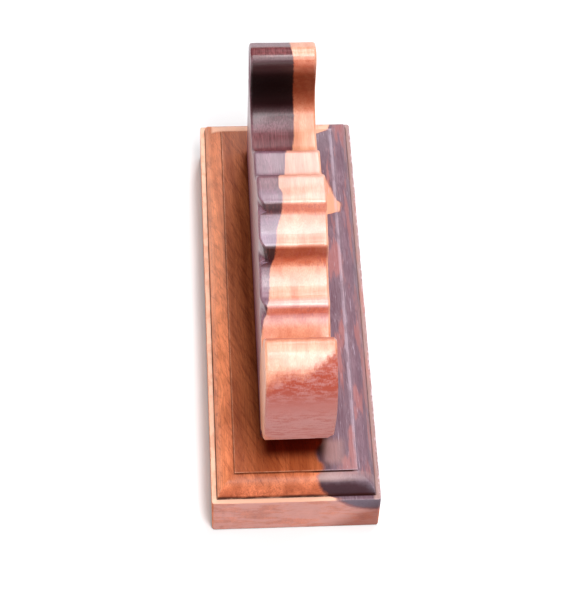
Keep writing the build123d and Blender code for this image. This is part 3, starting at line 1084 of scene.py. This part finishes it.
@dataclass
class HandWear(Graph):
    """The Geometry Nodes tree that works a board by hand, built once and used on each."""

    starts: WearMarks = WearMarks(half_width=0.03, half_length=0.08, sole=0.002, waver=0.0001, rub=0.0002)
    step_rise: float = 0.0016
    lip_edges: Edges = (-0.007, -0.003)
    chip_fade: float = 0.001
    sole_fade: float = 0.002
    sharp_angle: float = 30.0
    rub_specks: Specks = Specks(0.16, 0.4, 0.62, 3.0, 0.6)
    chip_specks: Specks = Specks((0.5, 0.4, 0.5), 0.54, 0.64, 3.0, 0.7)
    hollows: Specks = Specks((0.07, 0.12, 0.12), 0.3, 0.7, 2.0, 0.45)

    def __post_init__(self) -> None:
        """Builds the tree: every point moves inward, never out."""
        inputs = {"Board": ("Geometry", None)}
        for name, value in self.starts.sockets().items():
            inputs[name] = ("Vector" if isinstance(value, tuple) else "Float", value)
        inputs["Finish"] = ("Material", None)
        graph, given, result = new_group("Hand wear", inputs, {"Board": "Geometry"}, "Geometry")
        super().__init__(graph.tree)
        self.given = given
        position = self.node("GeometryNodeInputPosition").outputs[0]
        normal = self.node("GeometryNodeInputNormal").outputs[0]
        place = self.vector("MULTIPLY", position, MILLIMETRES)
        self.x, self.y, self.z = self.parts(position)
        facing_x, facing_y, _ = self.parts(normal)

        sideways = self.minus(given["Half Width"], self.away(self.x))
        endways = self.minus(given["Half Length"], self.away(self.y))
        edge = self.most(self.arris(facing_x, sideways), self.arris(facing_y, endways))
        rubbed = self.times(edge, self.specks(place, self.rub_specks, 0.15, 1.0), given["Rub"])
        torn = self.ease(self.x, given["Chips From"], self.plus(given["Chips From"], self.chip_fade))
        chipped = self.times(self.specks(place, self.chip_specks), torn, edge, given["Chip"])
        flat = self.ease(self.away(facing_x), 0.2, 0.9, 1.0, 0.0)
        wavered = self.times(self.specks(place, self.hollows), flat, given["Waver"])
        above = self.ease(self.z, given["Sole"], self.plus(given["Sole"], self.sole_fade))
        push = self.times(self.plus(rubbed, chipped, wavered), above, -1.0)
        offset = self.first("ShaderNodeVectorMath", {0: normal, 3: push}, operation="SCALE")
        offset = self.vector("ADD", offset, self.eased_corners())
        values = {"Geometry": given["Board"], "Offset": offset}
        moved = self.first("GeometryNodeSetPosition", values)
        real = self.first("GeometryNodeRealizeInstances", {0: moved})
        values = {"Geometry": real, "Material": given["Finish"]}
        self.feed(result.inputs["Board"], self.first("GeometryNodeSetMaterial", values))

    def arris(self, turned: Socket, gap: Socket) -> Socket:
        """Where the surface turns from a side of the board to what meets it.

        Args:
            turned: How far the surface faces that side, from -1 to 1.
            gap: How far the place is inside that side.

        Returns:
            0 away from the arris to 1 at its middle.
        """
        square = self.times(turned, turned)
        middle = self.times(square, self.minus(1.0, square))
        return self.times(self.ease(middle, 0.02, 0.2), self.ease(gap, 0.0, self.given["Reach"], 1.0, 0.0))

    def eased_corners(self) -> Socket:
        """Cuts in the left end of each step's front, in a curve.

        Returns:
            How far the place moves to the right, as a vector in metres.
        """
        given = self.given
        fronts, feet = self.parts(given["Step Fronts"]), self.parts(given["Step Feet"])
        tops = [self.plus(foot, self.step_rise) for foot in feet]
        front = self.ease(self.z, feet[1], tops[1], fronts[0], fronts[1])
        front = self.ease(self.z, feet[2], tops[2], front, fronts[2])
        behind = self.folded("DIVIDE", (self.minus(self.y, front), given["Ease Run"]))
        near = self.most(self.minus(1.0, self.most(behind, 0.0)), 0.0)
        above = self.ease(self.z, feet[0], tops[0])
        behind_lip = self.band(self.minus(self.y, fronts[0]), self.lip_edges)
        left = self.ease(self.plus(self.x, given["Half Width"]), 0.0, given["Ease Reach"], 1.0, 0.0)
        cut = self.times(near, near, given["Ease"], above, behind_lip, left)
        return self.first("ShaderNodeCombineXYZ", {0: cut})

    @staticmethod
    def cut_up(node_name: str, spacing: Point) -> bpy.types.Mesh:
        """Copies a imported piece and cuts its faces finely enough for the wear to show.

        Args:
            node_name: The piece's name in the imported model.
            spacing: How far apart the cuts are in each direction, in metres.

        Returns:
            A closed mesh in the same place.
        """
        board = bmesh.new()
        board.from_mesh(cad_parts[node_name].data)
        bmesh.ops.remove_doubles(board, verts=board.verts, dist=WELD_DISTANCE)
        low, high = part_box(node_name)
        for direction, step in enumerate(spacing):
            normal = Vector((0.0, 0.0, 0.0))
            normal[direction] = 1.0
            cuts = round((high[direction] - low[direction]) / step)
            for cut in range(1, cuts):
                whole = board.verts[:] + board.edges[:] + board.faces[:]
                at = low.lerp(high, cut / cuts)
                bmesh.ops.bisect_plane(board, geom=whole, dist=CUT_DISTANCE, plane_co=at, plane_no=normal)
        for face in board.faces:
            face.smooth = True
        mesh = bpy.data.meshes.new(f"worn_{node_name}")
        board.to_mesh(mesh)
        board.free()
        for name in [layer.name for layer in mesh.attributes if layer.name == "custom_normal"]:
            mesh.attributes.remove(mesh.attributes[name])
        return mesh

    def work(
        self, node_name: str, slot: str, material: Material, marks: WearMarks, spacing: Point
    ) -> Piece:
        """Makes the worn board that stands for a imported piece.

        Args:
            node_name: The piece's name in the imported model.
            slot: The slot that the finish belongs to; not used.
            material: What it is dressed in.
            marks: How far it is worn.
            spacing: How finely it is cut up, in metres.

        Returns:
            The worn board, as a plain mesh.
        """
        board = bpy.data.objects.new(f"worn_{node_name}", self.cut_up(node_name, spacing))
        bpy.context.scene.collection.objects.link(board)
        modifier = board.modifiers.new("Hand wear", "NODES")
        modifier.node_group = self.tree
        values = marks.sockets() | {"Finish": material}
        for item in self.tree.interface.items_tree:
            if item.in_out == "INPUT" and item.name in values:
                modifier[item.identifier] = values[item.name]
        graph = bpy.context.evaluated_depsgraph_get()
        mesh = bpy.data.meshes.new_from_object(board.evaluated_get(graph), depsgraph=graph)
        board.modifiers.clear()
        board.data = mesh
        mesh.set_sharp_from_angle(angle=radians(self.sharp_angle))
        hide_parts(node_name)
        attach(board, BODY)
        return board


@dataclass
class Plinth:
    """The moulded base board."""

    marks: WearMarks = WearMarks(
        half_width=0.030,
        half_length=0.0865,
        sole=0.004,
        waver=0.00006,
        rub=0.0002,
        chip=0.0003,
        chips_from=0.028,
    )
    spacing: Point = (0.003, 0.0012, 0.003)
    finish: HardwoodFinish = HardwoodFinish(
        sap_pale=paint(204, 114, 68),
        sap_deep=paint(172, 88, 48),
        sap_line=paint(116, 52, 28),
        heart_pale=paint(129, 104, 116),
        heart_deep=paint(102, 74, 86),
        heart_core=paint(50, 16, 26),
        heart_end=paint(102, 88, 100),
        end_tint=paint(236, 220, 220),
        rubbed_sap=paint(240, 176, 140),
        rubbed_heart=paint(200, 172, 182),
        grime=paint(44, 18, 14),
        polish=0.35,
        polish_roughness=0.4,
    )

    def build(self, effects: WoodEffects, wear: HandWear) -> list[Piece]:
        """Works and dresses the plinth."""
        wood = PlinthWood("Plinth hardwood", self.finish, effects)
        return [wear.work("plinth", "plinth_wood", wood.build(), self.marks, self.spacing)]


@dataclass
class Upright:
    """The scroll-cut board that stands on the plinth."""

    marks: WearMarks = WearMarks(
        half_width=0.012,
        half_length=1.0,
        sole=0.028,
        waver=0.00016,
        rub=0.0002,
        ease=0.0026,
        step_fronts=(-0.0436, -0.0266, -0.0136),
        step_feet=(0.0712, 0.0794, 0.0910),
    )
    spacing: Point = (0.0012, 0.0015, 0.0018)
    finish: HardwoodFinish = HardwoodFinish(
        sap_pale=paint(240, 177, 143),
        sap_deep=paint(224, 148, 113),
        sap_line=paint(196, 100, 62),
        heart_pale=paint(146, 92, 106),
        heart_deep=paint(90, 42, 54),
        heart_core=paint(64, 26, 34),
        heart_end=paint(52, 14, 20),
        end_tint=paint(230, 186, 176),
        rubbed_sap=paint(250, 206, 178),
        rubbed_heart=paint(168, 146, 160),
        grime=paint(66, 20, 10),
    )

    def build(self, effects: WoodEffects, wear: HandWear) -> list[Piece]:
        """Works and dresses the upright."""
        wood = UprightWood("Upright hardwood", self.finish, effects)
        return [wear.work("scrolled_upright", "upright_wood", wood.build(), self.marks, self.spacing)]


@dataclass
class Fixings:
    """The brass screws and beech dowels that hold the upright on the plinth."""

    brass: BrassFinish = BrassFinish()
    beech: BeechFinish = BeechFinish()

    def build(self) -> list[Piece]:
        """Dresses the screws and dowels.

        Returns:
            The five dressed pieces.
        """
        brass = self.brass.build()
        beech = self.beech.build()
        screws = [f"wood_screw_{place}" for place in ("front", "middle", "rear")]
        dowels = [f"dowel_{place}" for place in ("front", "rear")]
        pieces = [dress(name, brass) for name in screws]
        return pieces + [dress(name, beech) for name in dowels]


@dataclass(frozen=True)
class Lamp:
    """One soft square lamp that faces a point."""

    name: str
    place: Point
    facing: Point
    width: float
    height: float
    brightness: float
    colour: tuple[float, float, float] = (1.0, 1.0, 1.0)

    def build(self) -> None:
        """Hangs the lamp."""
        lamp = bpy.data.lights.new(self.name, "AREA")
        lamp.shape = "RECTANGLE"
        lamp.size = self.width
        lamp.size_y = self.height
        lamp.color = self.colour
        lamp.energy = self.brightness * WATTS_AT_BRIGHTNESS_ONE * self.width * self.height
        holder = bpy.data.objects.new(self.name, lamp)
        holder.location = self.place
        aim = Vector(self.facing) - Vector(self.place)
        holder.rotation_euler = aim.to_track_quat("-Z", "Y").to_euler()
        bpy.context.scene.collection.objects.link(holder)


@dataclass
class Studio:
    """A white floor, soft lamps and the camera."""

    floor_size: float = 40.0
    floor_white: float = 0.82
    floor_lift: float = 0.14
    floor_gap: float = 0.0001
    near_floor: float = 200.0
    far_floor: float = 1600.0
    sky_level: float = 0.32
    lamps: tuple[Lamp, ...] = (
        Lamp("Back softbox", (0.17, 0.70, 0.834), (0.0, 0.0, 0.06), 0.2, 0.5, 12.0, (0.96, 0.97, 1.0)),
        Lamp("Overhead softbox", (0.17, 0.19, 1.07), (0.0, 0.0, 0.06), 0.2, 0.5, 8.5, (0.97, 0.98, 1.0)),
        Lamp("Top softbox", (0.17, -0.37, 1.02), (0.0, 0.0, 0.06), 0.2, 0.5, 24.0, (0.98, 0.98, 1.0)),
        Lamp("Front softbox", (0.14, -0.80, 0.82), (0.0, 0.0, 0.06), 0.22, 0.32, 7.5, (1.0, 0.98, 0.97)),
        Lamp("Front fill", (0.0, -1.1, 0.2), (0.0, -0.05, 0.04), 1.0, 0.3, 1.7, (1.0, 0.98, 0.96)),
        Lamp("Left fill", (-1.1, -0.2, 0.22), (0.0, 0.0, 0.04), 1.0, 0.3, 3.4, (1.0, 0.98, 0.96)),
    )
    camera_reach: Edges = (0.01, 100.0)
    camera_place: Point = (-0.03824, -0.44575, 0.65299)
    camera_pitch: float = 54.743
    camera_turn: float = -5.281
    camera_roll: float = 2.926
    focal_pixels: float = 2055.0
    frame_pixels: float = 600.0
    sensor: float = 36.0

    def build_floor(self) -> None:
        """Lays the floor, which shows white to the eye and keeps the shadow."""
        half = self.floor_size / 2
        mesh = bpy.data.meshes.new("Floor")
        low = -self.floor_gap
        corners = [(-half, -half, low), (half, -half, low), (half, half, low), (-half, half, low)]
        mesh.from_pydata(corners, [], [(0, 1, 2, 3)])
        floor = bpy.data.objects.new("Floor", mesh)
        bpy.context.scene.collection.objects.link(floor)
        material, graph, place = new_material("Floor white")
        white = (self.floor_white, self.floor_white, self.floor_white, 1.0)
        matt = graph.first("ShaderNodeBsdfDiffuse", {"Color": white})
        away = graph.vector("LENGTH", place)
        lift = graph.ease(away, self.near_floor, self.far_floor, self.floor_lift, 1.0)
        glow = graph.first("ShaderNodeEmission", {"Strength": graph.times(graph.seen(), lift)})
        graph.surface(graph.first("ShaderNodeAddShader", {0: matt, 1: glow}))
        mesh.materials.append(material)

    def build_sky(self) -> None:
        """Surrounds the scene with an even soft light that looks white."""
        world = bpy.data.worlds.new("Studio")
        bpy.context.scene.world = world
        world.use_nodes = True
        world.node_tree.nodes.clear()
        graph = Graph(world.node_tree)
        level = graph.ease(graph.seen(), 0.0, 1.0, self.sky_level, 1.0)
        graph.surface(graph.first("ShaderNodeBackground", {"Strength": level}), "World")

    def build_camera(self) -> None:
        """Sets the camera up."""
        camera = bpy.data.cameras.new("Camera")
        camera.sensor_width = self.sensor
        camera.lens = self.focal_pixels * self.sensor / self.frame_pixels
        camera.clip_start, camera.clip_end = self.camera_reach
        holder = bpy.data.objects.new("Camera", camera)
        turn = Matrix.Rotation(radians(self.camera_turn), 4, "Z")
        pitch = Matrix.Rotation(radians(90.0 - self.camera_pitch), 4, "X")
        roll = Matrix.Rotation(radians(self.camera_roll), 4, "Z")
        holder.matrix_world = Matrix.Translation(self.camera_place) @ turn @ pitch @ roll
        bpy.context.scene.collection.objects.link(holder)
        bpy.context.scene.camera = holder

    def build(self) -> None:
        """Builds the floor, the sky, the lamps and the camera."""
        self.build_floor()
        self.build_sky()
        for lamp in self.lamps:
            lamp.build()
        self.build_camera()
        bpy.context.scene.view_settings.view_transform = "Standard"


def main() -> None:
    """Dresses each sub-assembly in order and sets up the studio."""
    logging.basicConfig(level=logging.INFO, format="%(name)s: %(message)s")
    effects = WoodEffects()
    wear = HandWear()
    pieces = Plinth().build(effects, wear) + Upright().build(effects, wear) + Fixings().build()
    for piece in pieces:
        log.info("%s: %d faces on %s", piece.name, len(piece.data.polygons), BODY)
    Studio().build()


if __name__ == "__main__":
    main()
